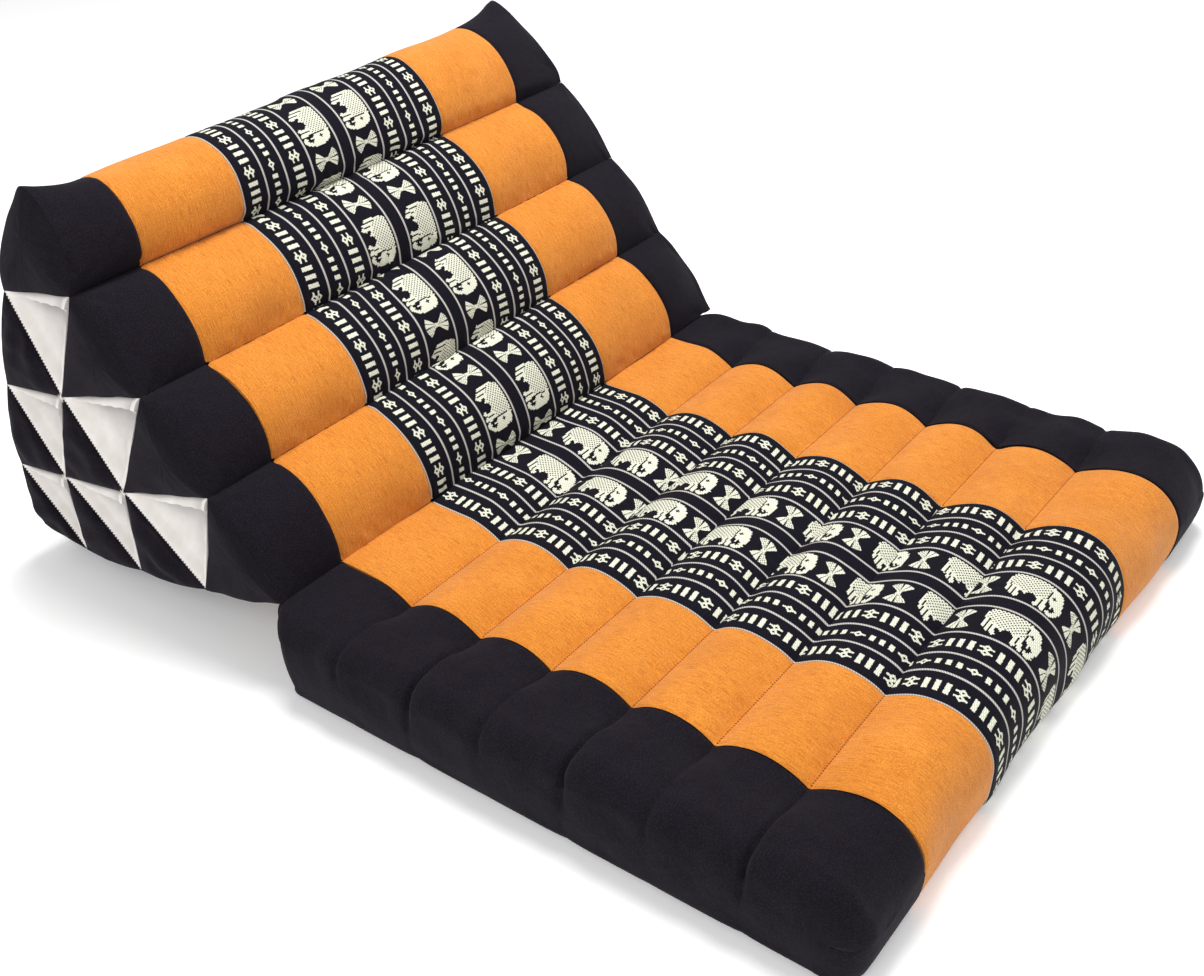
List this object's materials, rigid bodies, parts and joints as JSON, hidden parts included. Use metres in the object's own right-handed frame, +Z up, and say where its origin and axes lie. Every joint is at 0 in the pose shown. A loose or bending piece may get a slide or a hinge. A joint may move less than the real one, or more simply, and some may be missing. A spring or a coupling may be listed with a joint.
{
  "type": "triangle cushion with fold-out mat",
  "caption": "Stuffed triangular floor backrest in stepped rolls with a channelled fold-out mat, in black, orange and elephant-patterned cloth.",
  "frame": {"origin": "centre of the footprint, on the floor", "axes": "+Y from the mat towards the backrest, +Z up, X along the rolls"},
  "size_m": [0.778, 1.019, 0.4388],
  "materials": {
    "black": "matt plain-woven cotton, very dark navy",
    "orange": "matt slubbed cotton, orange",
    "brocade": "woven cotton, cream figures on dark navy",
    "white": "matt undyed cotton"
  },
  "bodies": {
    "root": {"roll_1_black_near": "black", "roll_1_orange_near": "orange", "roll_1_brocade": "brocade", "roll_1_orange_far": "orange", "roll_1_black_far": "black", "roll_2_black_near": "black", "roll_2_orange_near": "orange", "roll_2_brocade": "brocade", "roll_2_orange_far": "orange", "roll_2_black_far": "black", "roll_3_black_near": "black", "roll_3_orange_near": "orange", "roll_3_brocade": "brocade", "roll_3_orange_far": "orange", "roll_3_black_far": "black", "roll_4_black_near": "black", "roll_4_orange_near": "orange", "roll_4_brocade": "brocade", "roll_4_orange_far": "orange", "roll_4_black_far": "black", "mat_black_near": "black", "mat_orange_near": "orange", "mat_brocade": "brocade", "mat_orange_far": "orange", "mat_black_far": "black", "cell_2a": "black", "patch_2a_black_near": "black", "patch_2a_black_far": "black", "patch_2a_white_near": "white", "patch_2a_white_far": "white", "cell_3a": "black", "patch_3a_black_near": "black", "patch_3a_black_far": "black", "patch_3a_white_near": "white", "patch_3a_white_far": "white", "cell_3b": "black", "patch_3b_black_near": "black", "patch_3b_black_far": "black", "patch_3b_white_near": "white", "patch_3b_white_far": "white", "cell_4a": "black", "patch_4a_black_near": "black", "patch_4a_black_far": "black", "patch_4a_white_near": "white", "patch_4a_white_far": "white", "cell_4b": "black", "patch_4b_black_near": "black", "patch_4b_black_far": "black", "patch_4b_white_near": "white", "patch_4b_white_far": "white", "cell_4c": "black", "patch_4c_black_near": "black", "patch_4c_black_far": "black", "patch_4c_white_near": "white", "patch_4c_white_far": "white"}
  },
  "joints": []
}
